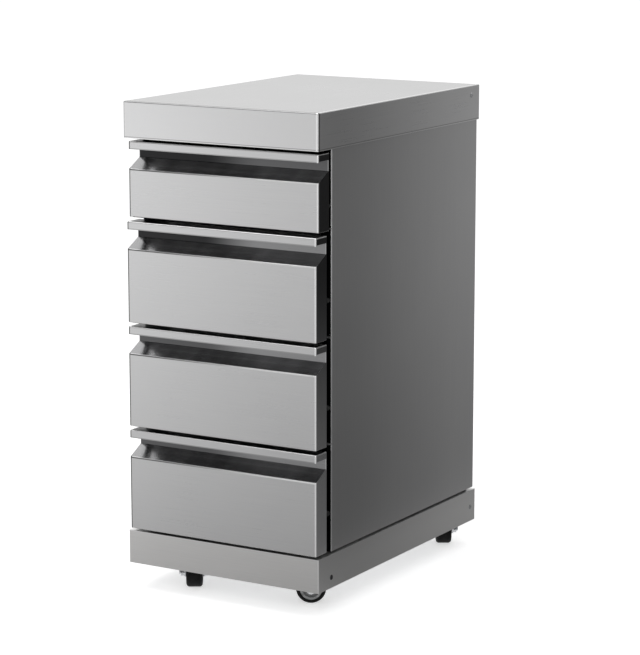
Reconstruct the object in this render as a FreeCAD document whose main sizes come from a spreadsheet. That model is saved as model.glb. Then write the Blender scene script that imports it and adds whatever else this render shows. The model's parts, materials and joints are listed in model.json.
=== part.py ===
# Outdoor kitchen drawer unit: a stainless cabinet on casters with four drawers under a worktop.
# Frame: origin on the floor under the middle of the unit, +X to its right, +Y to its back, +Z up.
import FreeCAD, Part
import os
import re
import Sketcher

App = FreeCAD
doc = App.newDocument("drawer_unit")
sheet = doc.addObject("Spreadsheet::Sheet", "Sizes")

# Driving sizes in millimetres, angles in degrees.
SIZES = {
    # worktop
    "width": 416, "depth": 614, "apron_height": 68, "counter_sheet": 1.5, "apron_return": 12,
    "bend_radius": 2.5, "hat_height": 15, "hat_width": 40, "hat_flange": 12, "hat_place": 110,
    # plinth and the strip that the cabinet stands on
    "floor_gap": 50, "plinth_height": 63, "plinth_sheet": 1.5, "plinth_flange": 30,
    "seal_height": 3, "seal_width": 8, "seal_inset": 14,
    # cabinet
    "panel_inset": 5, "panel_sheet": 1.2, "panel_flange": 16, "carcass_setback": 54,
    "back_gap": 0.3, "fold_gap": 0.2, "bottom_fold": 8, "back_fold": 12,
    "rail_thick": 3, "rail_reach": 4, "rail_depth": 28, "rail_fold": 12, "rail_rise": 2.2,
    "post_depth": 15, "post_width": 30, "post_sheet": 1.5, "post_place": 10,
    "bumper_radius": 5, "bumper_gap": 0.3,
    # drawer fronts: a folded pan with an open finger recess and a turned-down lip above it
    "small_front": 141, "large_front": 190, "front_gap": 7, "top_gap": 6, "bottom_gap": 1,
    "front_sheet": 1.5, "pan_depth": 37, "lip_height": 15, "mouth": 37, "slope_rise": 19,
    "tab_trim": 2, "closed_setback": 8, "standing_out": 8, "liner_sheet": 1, "liner_gap": 2.5,
    # drawer boxes
    "small_box": 88, "large_box": 140, "box_rise": 14, "box_sheet": 1, "box_length": 500,
    "box_rim": 8,
    # ball-bearing slides
    "slide_length": 490, "slide_setback": 4, "slide_height": 45, "slide_thick": 12.7,
    "slide_sheet": 1.2, "slide_lip": 3, "slide_rise": 42, "slide_step": 3.2, "slide_gap": 0.5,
    "cage_gap": 0.3, "cage_length": 140,
    # casters
    "wheel_radius": 28, "tyre_width": 31, "tyre_thick": 7, "tyre_round": 6, "trail": 20,
    "axle_radius": 4, "running_gap": 0.05, "hub_boss": 9, "hub_rim": 4, "hub_web": 8,
    "hub_inset": 2,
    "fork_gap": 1.5, "fork_sheet": 2.5, "fork_eye": 9, "fork_width": 34, "crown_thick": 3,
    "crown_radius": 21, "race_radius": 19, "race_height": 6, "seat_gap": 0.3,
    "pin_radius": 5, "pin_head": 8, "pin_head_height": 2.7, "plate_side": 58, "plate_thick": 2.5,
    "bolt_place": 21, "bolt_radius": 3, "bolt_head": 5, "bolt_head_height": 3, "nut_height": 5,
    "axle_nut": 7.5, "axle_nut_height": 6.5, "axle_end": 3,
    "caster_height": 84, "channel_sheet": 2, "channel_height": 24, "channel_width": 64,
    "tab_rise": 12, "front_caster_side": 91, "front_caster_inset": 87, "rear_caster_side": 45,
    "rear_caster_inset": 47, "front_left_angle": -59, "front_right_angle": 31,
    "rear_left_angle": 20, "rear_right_angle": 121,
    # screws
    "screw_radius": 2.5, "screw_head": 5, "screw_dome": 0.8, "screw_length": 8,
    "tab_screw_edge": 10, "front_screw_inset": 46, "rear_screw_inset": 21,
    "front_screw_rise": 20, "rear_screw_rise": 29,
    "apron_screw_back": 34, "apron_screw_drop": 19, "back_screw_count": 5,
    "box_screw_place": 120, "box_screw_drop": 20,
}

for row, (alias, number) in enumerate(SIZES.items(), start=1):
    sheet.set(f"A{row}", alias)
    sheet.set(f"B{row}", str(number))
    sheet.setAlias(f"B{row}", alias)
doc.recompute()

WORDS = re.compile(r"\b(" + "|".join(sorted(SIZES, key=len, reverse=True)) + r")\b")

# Places worked out from the sizes.
FRONT = "(-depth / 2)"
BACK = "(depth / 2)"
HALF = "(width / 2)"
PLINTH_TOP = "(floor_gap + plinth_height)"
BASE = f"({PLINTH_TOP} + seal_height)"
BOTTOM_4 = f"({BASE} + bottom_gap)"
STEP_UP = "(large_front + front_gap)"
BOTTOM_1 = f"({BOTTOM_4} + 3 * {STEP_UP})"
APRON_BOTTOM = f"({BOTTOM_1} + small_front + top_gap)"
TOP = f"({APRON_BOTTOM} + apron_height)"
UNDER_TOP = f"({TOP} - counter_sheet)"
SIDE = f"({HALF} - panel_inset)"
PANEL_IN = f"({SIDE} - panel_sheet)"
FLANGE_IN = f"({SIDE} - panel_flange)"
CARCASS_FRONT = f"({FRONT} + carcass_setback)"
CARCASS_BACK = f"({BACK} - counter_sheet - back_gap)"
CLOSED_FACE = f"({FRONT} + closed_setback)"
POST_IN = f"({PANEL_IN} - post_depth)"
BOX_SIDE = f"({POST_IN} - slide_thick)"
SLIDE_FRONT = f"({CARCASS_FRONT} + slide_setback)"
WHEEL_SIDE = "(tyre_width / 2 + fork_gap)"
FORK_SIDE = f"({WHEEL_SIDE} + fork_sheet)"
FRONT_CASTER_X = f"({HALF} - front_caster_side)"
REAR_CASTER_X = f"({HALF} - rear_caster_side)"
PLATE_BOTTOM = "(caster_height - plate_thick)"
CROWN_TOP = f"({PLATE_BOTTOM} - race_height - seat_gap)"
CROWN_BOTTOM = f"({CROWN_TOP} - crown_thick)"
SLOPE = "(slope_rise / (pan_depth - front_sheet))"

# Screws: height and place of those in each side, and heights of those in the back.
SIDE_SCREWS = (
    ("plinth_front", f"({FRONT} + front_screw_inset)", "(floor_gap + front_screw_rise)"),
    ("plinth_rear", f"({BACK} - rear_screw_inset)", "(floor_gap + rear_screw_rise)"),
    ("apron", f"({BACK} - apron_screw_back)", f"({TOP} - apron_screw_drop)"),
)
BACK_SCREW_X = f"({SIDE} - panel_flange / 2)"
BACK_SCREW_HEIGHTS = [
    f"({BASE} + ({APRON_BOTTOM} - {BASE}) * ({index} + 0.5) / back_screw_count)"
    for index in range(SIZES["back_screw_count"])]

# Drawers from the top down: number, bottom edge, front height, box height, how far it stands out.
DRAWERS = (
    (1, BOTTOM_1, "small_front", "small_box", "0"),
    (2, f"({BOTTOM_4} + 2 * {STEP_UP})", "large_front", "large_box", "standing_out"),
    (3, f"({BOTTOM_4} + {STEP_UP})", "large_front", "large_box", "standing_out"),
    (4, BOTTOM_4, "large_front", "large_box", "standing_out"),
)

# Casters: name, swivel axis and the direction its wheel trails in.
CASTERS = (
    ("front_left", f"-{FRONT_CASTER_X}", f"({FRONT} + front_caster_inset)", "front_left_angle"),
    ("front_right", FRONT_CASTER_X, f"({FRONT} + front_caster_inset)", "front_right_angle"),
    ("rear_left", f"-{REAR_CASTER_X}", f"({BACK} - rear_caster_inset)", "rear_left_angle"),
    ("rear_right", REAR_CASTER_X, f"({BACK} - rear_caster_inset)", "rear_right_angle"),
)

NODES = []


def value(text):
    """Number that an expression in the sheet's words gives now."""
    return float(sheet.evalExpression(str(text)))


def bind(item, path, text):
    """Ties one property of an object to the sheet."""
    item.setExpression(path, WORDS.sub(r"Sizes.\1", str(text)))


def place(item, x="0", y="0", z="0", turn=None):
    """Ties an object's place, and its turn about the upright axis, to the sheet."""
    for axis, text in (("x", x), ("y", y), ("z", z)):
        bind(item, f"Placement.Base.{axis}", text)
    if turn is not None:
        item.Placement = App.Placement(App.Vector(), App.Rotation(App.Vector(0, 0, 1), 1))
        bind(item, "Placement.Rotation.Angle", turn)


def node(item, label):
    """Marks an object as a finished sub-part and names its file."""
    item.Label = label
    NODES.append(item)
    return item


def new_body(name):
    """Empty body."""
    return doc.addObject("PartDesign::Body", name)


def origin_plane(body, role):
    """One of a body's own origin planes or axes."""
    return next(item for item in body.Origin.OriginFeatures if item.Role == role)


def new_sketch(body, plane, offset="0"):
    """Sketch on one of the body's own origin planes, moved along that plane's normal."""
    sketch = body.newObject("Sketcher::SketchObject", body.Name + "_sketch")
    sketch.AttachmentSupport = [(origin_plane(body, plane + "_Plane"), "")]
    sketch.MapMode = "FlatFace"
    bind(sketch, "AttachmentOffset.Base.z", offset)
    return sketch


def pin_point(sketch, geometry, point, x, y):
    """Holds one point of a sketch at a place given in the sheet's words."""
    for kind, text in (("DistanceX", x), ("DistanceY", y)):
        index = sketch.addConstraint(
            Sketcher.Constraint(kind, -1, 1, geometry, point, value(text)))
        bind(sketch, f"Constraints[{index}]", text)


def draw_polygon(sketch, points):
    """Closed outline through the given points."""
    spots = [App.Vector(value(x), value(y), 0) for x, y in points]
    first = sketch.GeometryCount
    count = len(spots)
    for index, spot in enumerate(spots):
        sketch.addGeometry(Part.LineSegment(spot, spots[(index + 1) % count]), False)
    for index in range(count):
        following = first + (index + 1) % count
        sketch.addConstraint(Sketcher.Constraint("Coincident", first + index, 2, following, 1))
    for index, (x, y) in enumerate(points):
        pin_point(sketch, first + index, 1, x, y)


def draw_rectangle(sketch, x0, x1, y0, y1):
    """Upright rectangle between two corners."""
    draw_polygon(sketch, ((x0, y0), (x1, y0), (x1, y1), (x0, y1)))


def draw_circle(sketch, x, y, radius):
    """Circle about a point."""
    centre = App.Vector(value(x), value(y), 0)
    index = sketch.addGeometry(Part.Circle(centre, App.Vector(0, 0, 1), value(radius)), False)
    pin_point(sketch, index, 3, x, y)
    held = sketch.addConstraint(Sketcher.Constraint("Radius", index, value(radius)))
    bind(sketch, f"Constraints[{held}]", radius)


def pad(body, sketch, length, backwards=False):
    """Raises a sketch into solid material."""
    feature = body.newObject("PartDesign::Pad", body.Name + "_pad")
    feature.Profile = sketch
    feature.Reversed = backwards
    bind(feature, "Length", length)
    doc.recompute()
    return feature


def pocket(body, sketch, length, backwards=False):
    """Cuts a sketch out of the body and checks that it removed something."""
    before = body.Shape.Volume
    feature = body.newObject("PartDesign::Pocket", body.Name + "_pocket")
    feature.Profile = sketch
    feature.Reversed = backwards
    bind(feature, "Length", length)
    doc.recompute()
    if body.Shape.Volume > before - 1e-6:
        raise RuntimeError(f"{body.Name}: a pocket cuts nothing")
    return feature


def revolve(body, sketch):
    """Turns a sketch once around its own horizontal axis."""
    feature = body.newObject("PartDesign::Revolution", body.Name + "_turned")
    feature.Profile = sketch
    feature.ReferenceAxis = (sketch, ["H_Axis"])
    feature.Angle = 360
    doc.recompute()
    return feature


def round_edges(body, wanted, radius):
    """Rounds the body's edges that a test picks."""
    base = body.Tip
    names = [f"Edge{number}" for number, edge in enumerate(base.Shape.Edges, start=1) if wanted(edge)]
    feature = body.newObject("PartDesign::Fillet", body.Name + "_bend")
    feature.Base = (base, names)
    bind(feature, "Radius", radius)
    doc.recompute()
    return feature


def mirror_features(body, originals):
    """Repeats features on the other side of the body's middle plane."""
    feature = body.newObject("PartDesign::Mirrored", body.Name + "_mirrored")
    feature.Originals = originals
    feature.MirrorPlane = (origin_plane(body, "YZ_Plane"), [""])
    body.Tip = feature
    doc.recompute()
    return feature


def extruded_body(name, plane, offset, points, length, backwards=False):
    """Body of one outline raised straight up from its plane."""
    body = new_body(name)
    sketch = new_sketch(body, plane, offset)
    draw_polygon(sketch, points)
    pad(body, sketch, length, backwards)
    return body


def group(name, items, label):
    """One sub-part made of several like solids."""
    compound = doc.addObject("Part::Compound", name)
    compound.Links = items
    return node(compound, label)


def cylinder(name, radius, length, x, y, z, direction=(0, 0, 1)):
    """Round bar from a point along a direction."""
    bar = doc.addObject("Part::Cylinder", name)
    bind(bar, "Radius", radius)
    bind(bar, "Height", length)
    turn = App.Rotation(App.Vector(0, 0, 1), App.Vector(*direction))
    bar.Placement = App.Placement(App.Vector(), turn)
    place(bar, x, y, z)
    return bar


def hexagon(name, radius, length, x, y, z, direction=(0, 0, 1)):
    """Six-sided bar from a point along a direction."""
    bar = doc.addObject("Part::Prism", name)
    bar.Polygon = 6
    bind(bar, "Circumradius", radius)
    bind(bar, "Height", length)
    turn = App.Rotation(App.Vector(0, 0, 1), App.Vector(*direction))
    bar.Placement = App.Placement(App.Vector(), turn)
    place(bar, x, y, z)
    return bar


def fuse(name, items):
    """One solid from several."""
    joined = doc.addObject("Part::MultiFuse", name)
    joined.Shapes = items
    return joined


def drill(body, plane, offset, spots, radius, depth, backwards=False):
    """Round holes through a body, at places in a plane."""
    sketch = new_sketch(body, plane, offset)
    for x, y in spots:
        draw_circle(sketch, x, y, radius)
    pocket(body, sketch, depth, backwards)


def lies_at(edge, axis, spot):
    """Whether the whole edge lies at one coordinate."""
    return all(abs(getattr(vertex.Point, axis) - spot) < 1e-4 for vertex in edge.Vertexes)


def side_name(sign):
    """Word for a side of the unit."""
    return "right" if sign > 0 else "left"


def make_countertop():
    """Folded worktop: a flat top with aprons all round and a return under the front one."""
    body = new_body("countertop")
    outline = new_sketch(body, "XY", APRON_BOTTOM)
    draw_rectangle(outline, f"-{HALF}", HALF, FRONT, BACK)
    pad(body, outline, "apron_height")
    top = value(TOP)
    half = value(HALF)

    def is_bend(edge):
        on_top = lies_at(edge, "z", top)
        on_corner = (lies_at(edge, "x", half) or lies_at(edge, "x", -half)) and (
            lies_at(edge, "y", value(FRONT)) or lies_at(edge, "y", value(BACK)))
        return on_top or on_corner

    round_edges(body, is_bend, "bend_radius")
    inside = new_sketch(body, "XY", APRON_BOTTOM)
    draw_rectangle(inside, f"-{HALF} + counter_sheet", f"{HALF} - counter_sheet",
                   f"{FRONT} + counter_sheet", f"{BACK} - counter_sheet")
    pocket(body, inside, "apron_height - counter_sheet", True)
    fold = new_sketch(body, "XY", APRON_BOTTOM)
    draw_rectangle(fold, f"-{HALF} + counter_sheet", f"{HALF} - counter_sheet",
                   f"{FRONT} + counter_sheet / 2", f"{FRONT} + counter_sheet + apron_return")
    pad(body, fold, "counter_sheet")
    drill(body, "YZ", HALF, [SIDE_SCREWS[2][1:]], "screw_radius", "width")
    node(body, "countertop")


def make_stiffeners():
    """Two hat sections glued across the underside of the worktop."""
    hats = []
    for side in (-1, 1):
        half = "hat_width / 2"
        foot = "hat_width / 2 + hat_flange"
        top, low = UNDER_TOP, f"{UNDER_TOP} - hat_height"
        sheet_top = f"{UNDER_TOP} - panel_sheet"
        middle = f"{side} * hat_place"
        points = [
            (f"{middle} - ({foot})", top), (f"{middle} - ({half})", top),
            (f"{middle} - ({half})", f"{low} + panel_sheet"),
            (f"{middle} + ({half})", f"{low} + panel_sheet"),
            (f"{middle} + ({half})", top), (f"{middle} + ({foot})", top),
            (f"{middle} + ({foot})", sheet_top),
            (f"{middle} + ({half}) + panel_sheet", sheet_top),
            (f"{middle} + ({half}) + panel_sheet", low),
            (f"{middle} - ({half}) - panel_sheet", low),
            (f"{middle} - ({half}) - panel_sheet", sheet_top),
            (f"{middle} - ({foot})", sheet_top),
        ]
        reach = f"{FLANGE_IN} - fold_gap"
        name = "stiffener_back" if side > 0 else "stiffener_front"
        hats.append(extruded_body(name, "YZ", f"-({reach})", points, f"2 * ({reach})"))
    group("counter_stiffeners", hats, "counter_stiffeners")


def make_side_panel(name, sign):
    """Side of the cabinet: a tray folded inwards on all four edges."""
    body = new_body(name)
    outline = new_sketch(body, "YZ", f"{sign} * {SIDE}")
    draw_rectangle(outline, CARCASS_FRONT, CARCASS_BACK, BASE, UNDER_TOP)
    pad(body, outline, "panel_flange", sign > 0)
    inside = new_sketch(body, "YZ", f"{sign} * {FLANGE_IN}")
    draw_rectangle(inside, f"{CARCASS_FRONT} + panel_sheet", f"{CARCASS_BACK} - panel_sheet",
                   f"{BASE} + panel_sheet", f"{UNDER_TOP} - panel_sheet")
    pocket(body, inside, "panel_flange - panel_sheet", sign > 0)
    drill(body, "YZ", f"{sign} * {SIDE}", [SIDE_SCREWS[2][1:]], "screw_radius", "2 * panel_sheet",
          sign < 0)
    spots = [(f"{sign} * {BACK_SCREW_X}", z) for z in BACK_SCREW_HEIGHTS]
    drill(body, "XZ", f"-{CARCASS_BACK}", spots, "screw_radius", "2 * panel_sheet", True)
    node(body, name)


def make_back_panel():
    """Back sheet, folded forwards on its edges, behind the drawers and inside the side panels."""
    body = new_body("back_panel")
    half = f"{PANEL_IN} - fold_gap"
    low = f"{BASE} + panel_sheet + fold_gap"
    high = f"{UNDER_TOP} - panel_sheet - fold_gap"
    outline = new_sketch(body, "XZ", f"-({CARCASS_BACK} - panel_sheet)")
    draw_rectangle(outline, f"-({half})", half, low, high)
    pad(body, outline, "back_fold")
    inside = new_sketch(body, "XZ", f"-({CARCASS_BACK} - panel_sheet - back_fold)")
    draw_rectangle(inside, f"-({half}) + panel_sheet", f"{half} - panel_sheet",
                   f"{low} + panel_sheet", f"{high} - panel_sheet")
    pocket(body, inside, "back_fold - panel_sheet")
    spots = [(f"{sign} * {BACK_SCREW_X}", z) for sign in (-1, 1) for z in BACK_SCREW_HEIGHTS]
    drill(body, "XZ", f"-{CARCASS_BACK}", spots, "screw_radius", "3 * panel_sheet", True)
    node(body, "back_panel")


def make_bottom_panel():
    """Floor of the cabinet on the side panels' lower flanges, turned up at the front."""
    low = f"{BASE} + panel_sheet"
    front = f"{CARCASS_FRONT} + panel_sheet + fold_gap"
    rear = f"{CARCASS_BACK} - panel_sheet - back_fold - fold_gap"
    points = [
        (front, low), (rear, low), (rear, f"{low} + panel_sheet"),
        (f"{front} + panel_sheet", f"{low} + panel_sheet"),
        (f"{front} + panel_sheet", f"{low} + bottom_fold"), (front, f"{low} + bottom_fold"),
    ]
    reach = f"{PANEL_IN} - fold_gap"
    body = extruded_body("bottom_panel", "YZ", f"-({reach})", points, f"2 * ({reach})")
    node(body, "bottom_panel")


def make_cross_rails():
    """Rails between the drawers and one under the worktop, hooked over the side panels' fronts."""
    heights = [f"{bottom} + rail_rise" for number, bottom, tall, box, out in DRAWERS[:3]]
    heights.append(f"{UNDER_TOP} - rail_thick")
    rails = []
    for index, low in enumerate(heights, start=1):
        body = new_body(f"cross_rail_{index}")
        plan = new_sketch(body, "XY", low)
        near = f"{CARCASS_FRONT} - rail_reach"
        far = f"{CARCASS_FRONT} + rail_depth"
        inner = f"{FLANGE_IN} - fold_gap"
        draw_polygon(plan, (
            (f"-{SIDE}", near), (SIDE, near), (SIDE, CARCASS_FRONT), (inner, CARCASS_FRONT),
            (inner, far), (f"-({inner})", far), (f"-({inner})", CARCASS_FRONT),
            (f"-{SIDE}", CARCASS_FRONT)))
        pad(body, plan, "rail_thick")
        fold = new_sketch(body, "XY", f"{low} - rail_fold")
        draw_rectangle(fold, f"-({inner})", inner, f"{far} - panel_sheet", far)
        pad(body, fold, "rail_fold + rail_thick / 2")
        rails.append(body)
    group("cross_rails", rails, "cross_rails")


def make_slide_posts():
    """Four channel posts inside the side panels that carry the slides."""
    posts = []
    near_front = f"{SLIDE_FRONT} + post_place"
    near_back = f"{SLIDE_FRONT} + slide_length - post_place - post_width"
    for sign in (-1, 1):
        for place_name, start in (("front", near_front), ("back", near_back)):
            end = f"{start} + post_width"
            points = [
                (f"{sign} * {PANEL_IN}", start), (f"{sign} * {POST_IN}", start),
                (f"{sign} * {POST_IN}", end), (f"{sign} * {PANEL_IN}", end),
                (f"{sign} * {PANEL_IN}", f"{end} - post_sheet"),
                (f"{sign} * ({POST_IN} + post_sheet)", f"{end} - post_sheet"),
                (f"{sign} * ({POST_IN} + post_sheet)", f"{start} + post_sheet"),
                (f"{sign} * {PANEL_IN}", f"{start} + post_sheet"),
            ]
            low = f"{BASE} + 2 * panel_sheet"
            name = f"post_{place_name}_{side_name(sign)}"
            height = f"{UNDER_TOP} - panel_sheet - ({low})"
            posts.append(extruded_body(name, "XY", low, points, height))
    group("slide_posts", posts, "slide_posts")


def channel_points(sign, web_x, tip_x, half, centre, lip):
    """C section: web at one side, flanges to the other, each flange ending in a lip."""
    toward = "-1" if value(web_x) > value(tip_x) else "1"
    inner_x = f"({web_x} + {toward} * slide_sheet)"
    lip_x = f"({tip_x} - {toward} * slide_sheet)"
    high, low = f"({centre} + {half})", f"({centre} - {half})"
    high_in, low_in = f"({high} - slide_sheet)", f"({low} + slide_sheet)"
    points = [(web_x, low), (web_x, high), (tip_x, high)]
    if lip:
        points += [(tip_x, f"{high} - slide_lip - slide_sheet"),
                   (lip_x, f"{high} - slide_lip - slide_sheet"), (lip_x, high_in)]
    else:
        points += [(tip_x, high_in)]
    points += [(inner_x, high_in), (inner_x, low_in)]
    if lip:
        points += [(lip_x, low_in), (lip_x, f"{low} + slide_lip + slide_sheet"),
                   (tip_x, f"{low} + slide_lip + slide_sheet"), (tip_x, low)]
    else:
        points += [(tip_x, low_in), (tip_x, low)]
    return [(f"{sign} * {x}", z) for x, z in points]


# Half heights of the three slide members, each a step inside the one before.
OUTER_HALF = "(slide_height / 2)"
MIDDLE_HALF = "(slide_height / 2 - slide_sheet - slide_step)"
INNER_HALF = "(slide_height / 2 - 2 * slide_sheet - 2 * slide_step)"
OUTER_TIP = f"({BOX_SIDE} + 3 * slide_sheet)"
MIDDLE_WEB = f"({POST_IN} - slide_sheet - slide_gap)"
MIDDLE_TIP = f"({BOX_SIDE} + 2 * slide_sheet)"
INNER_TIP = f"({MIDDLE_WEB} - slide_sheet - slide_gap)"


def slide_body(name, points, start):
    """One slide member, running back from its front end."""
    return extruded_body(name, "XZ", f"-({start})", points, "slide_length", True)


def make_outer_rails():
    """Fixed slide members, two for each drawer, on the posts."""
    rails = []
    for number, bottom, tall, box, out in DRAWERS:
        centre = f"({bottom} + box_rise + slide_rise)"
        for sign in (-1, 1):
            points = channel_points(sign, POST_IN, OUTER_TIP, OUTER_HALF, centre, True)
            rails.append(slide_body(f"outer_rail_{number}_{side_name(sign)}", points, SLIDE_FRONT))
    group("slide_outer_rails", rails, "slide_outer_rails")


def cage_body(name, sign, near_x, far_x, low, high, start):
    """Strip that holds a row of bearing balls between two slide members."""
    points = [(f"{sign} * {near_x}", low), (f"{sign} * {far_x}", low),
              (f"{sign} * {far_x}", high), (f"{sign} * {near_x}", high)]
    return extruded_body(name, "XZ", f"-({start})", points, "cage_length", True)


def make_middle_rails(number, bottom, out):
    """Middle slide members of one drawer with the ball cages that run above and below them."""
    centre = f"({bottom} + box_rise + slide_rise)"
    start = f"({SLIDE_FRONT} - {out} / 2)"
    pieces = []
    for sign in (-1, 1):
        side = side_name(sign)
        points = channel_points(sign, MIDDLE_WEB, MIDDLE_TIP, MIDDLE_HALF, centre, False)
        pieces.append(slide_body(f"middle_rail_{number}_{side}", points, start))
        near_x = f"({OUTER_TIP} + slide_sheet + cage_gap)"
        far_x = f"({POST_IN} - slide_sheet - cage_gap)"
        depth = "(slide_step - cage_gap)"
        for place_name, low in (("top", f"({centre} + {MIDDLE_HALF})"),
                                ("bottom", f"({centre} - {MIDDLE_HALF} - {depth})")):
            pieces.append(cage_body(f"cage_{place_name}_{number}_{side}", sign, near_x, far_x,
                                    low, f"({low} + {depth})", start))
    group(f"slide_middle_rails_{number}", pieces, f"slide_middle_rails_{number}")


def make_inner_rails(number, bottom, out):
    """Inner slide members of one drawer, on the sides of its box, with their ball cages."""
    centre = f"({bottom} + box_rise + slide_rise)"
    start = f"({SLIDE_FRONT} - {out})"
    pieces = []
    for sign in (-1, 1):
        side = side_name(sign)
        points = channel_points(sign, BOX_SIDE, INNER_TIP, INNER_HALF, centre, False)
        pieces.append(slide_body(f"inner_rail_{number}_{side}", points, start))
        near_x = f"({MIDDLE_TIP} + cage_gap)"
        depth = "(slide_step - cage_gap)"
        for place_name, low in (("top", f"({centre} + {INNER_HALF})"),
                                ("bottom", f"({centre} - {INNER_HALF} - {depth})")):
            pieces.append(cage_body(f"inner_cage_{place_name}_{number}_{side}", sign, near_x,
                                    INNER_TIP, low, f"({low} + {depth})", start))
    group(f"slide_inner_rails_{number}", pieces, f"slide_inner_rails_{number}")


def make_bumpers():
    """Rubber stops on the side panels' front flanges, one at each side of each drawer."""
    stops = []
    reach = "(carcass_setback - closed_setback - pan_depth - bumper_gap)"
    for number, bottom, tall, box, out in DRAWERS:
        for sign in (-1, 1):
            stops.append(cylinder(
                f"bumper_{number}_{side_name(sign)}", "bumper_radius", reach,
                f"{sign} * ({SIDE} - panel_flange / 2)", CARCASS_FRONT,
                f"{bottom} + {box} / 2", (0, -1, 0)))
    group("drawer_bumpers", stops, "drawer_bumpers")


def make_plinth():
    """Welded base ring with a flange turned in along its top."""
    body = new_body("plinth")
    outline = new_sketch(body, "XY", "floor_gap")
    draw_rectangle(outline, f"-{HALF}", HALF, FRONT, BACK)
    pad(body, outline, "plinth_height")
    half, back = value(HALF), value(BACK)

    def is_corner(edge):
        beside = lies_at(edge, "x", half) or lies_at(edge, "x", -half)
        return beside and (lies_at(edge, "y", back) or lies_at(edge, "y", -back))

    round_edges(body, is_corner, "bend_radius")
    inside = new_sketch(body, "XY", "floor_gap")
    draw_rectangle(inside, f"-{HALF} + plinth_sheet", f"{HALF} - plinth_sheet",
                   f"{FRONT} + plinth_sheet", f"{BACK} - plinth_sheet")
    pocket(body, inside, "plinth_height - plinth_sheet", True)
    window = new_sketch(body, "XY", PLINTH_TOP)
    draw_rectangle(window, f"-{HALF} + plinth_flange", f"{HALF} - plinth_flange",
                   f"{FRONT} + plinth_flange", f"{BACK} - plinth_flange")
    pocket(body, window, "plinth_sheet * 2")
    spots = [spot[1:] for spot in SIDE_SCREWS[:2]]
    drill(body, "YZ", HALF, spots, "screw_radius", "width")
    node(body, "plinth")


def make_base_seal():
    """Rubber strip between the plinth and the cabinet, set back so that it reads as a shadow."""
    body = new_body("base_seal")
    half = f"({HALF} - seal_inset)"
    near = f"({CARCASS_FRONT} + seal_inset / 2)"
    far = f"({BACK} - seal_inset)"
    outline = new_sketch(body, "XY", PLINTH_TOP)
    draw_rectangle(outline, f"-{half}", half, near, far)
    draw_rectangle(outline, f"-{half} + seal_width", f"{half} - seal_width",
                   f"{near} + seal_width", f"{far} - seal_width")
    pad(body, outline, "seal_height")
    node(body, "base_seal")


def make_channels():
    """Two channels across the inside of the plinth that the casters hang from, with end tabs."""
    channels = []
    for name, middle, spots in (
            ("front", f"({FRONT} + front_caster_inset)", SIDE_SCREWS[0]),
            ("rear", f"({BACK} - rear_caster_inset)", SIDE_SCREWS[1])):
        near, far = f"({middle} - channel_width / 2)", f"({middle} + channel_width / 2)"
        tab_near = f"({spots[1]} - tab_screw_edge)" if name == "front" else near
        tab_far = far if name == "front" else f"({spots[1]} + tab_screw_edge)"
        reach = f"({HALF} - plinth_sheet)"
        points = [
            (near, "caster_height"), (far, "caster_height"),
            (far, "caster_height + channel_height"),
            (f"{far} - channel_sheet", "caster_height + channel_height"),
            (f"{far} - channel_sheet", "caster_height + channel_sheet"),
            (f"{near} + channel_sheet", "caster_height + channel_sheet"),
            (f"{near} + channel_sheet", "caster_height + channel_height"),
            (near, "caster_height + channel_height"),
        ]
        body = extruded_body(f"channel_{name}", "YZ", f"-{reach}", points, f"2 * {reach}")
        tab = new_sketch(body, "YZ", reach)
        draw_rectangle(tab, tab_near, tab_far, "floor_gap + tab_rise",
                       "caster_height + channel_sheet")
        feature = pad(body, tab, "channel_sheet", True)
        mirror_features(body, [feature])
        drill(body, "YZ", reach, [spots[1:]], "screw_radius", "width")
        bolts = [(f"{x} + {right} * bolt_place", f"{y} + {back} * bolt_place")
                 for caster, x, y, turn in CASTERS if caster.startswith(name)
                 for right in (-1, 1) for back in (-1, 1)]
        drill(body, "XY", "caster_height + channel_sheet", bolts, "bolt_radius", "2 * channel_sheet")
        channels.append(body)
    group("caster_channels", channels, "caster_channels")


def front_outline(tall):
    """Edge of the folded front sheet, seen from its right side: out along it and back."""
    face_top = f"({tall} - lip_height - mouth)"
    wall = "(pan_depth - front_sheet)"
    drop = f"(front_sheet * sqrt(1 + {SLOPE} * {SLOPE}))"
    under = f"({tall} - front_sheet)"
    lip = f"({tall} - lip_height)"
    return [
        ("pan_depth", "0"), ("0", "0"), ("0", face_top), (wall, f"{face_top} + slope_rise"),
        (wall, under), ("front_sheet", under), ("front_sheet", lip), ("0", lip), ("0", tall),
        ("pan_depth", tall), ("pan_depth", f"{face_top} + pan_depth * {SLOPE} - {drop}"),
        ("front_sheet", f"{face_top} + front_sheet * {SLOPE} - {drop}"),
        ("front_sheet", "front_sheet"), ("pan_depth", "front_sheet"),
    ]


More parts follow.
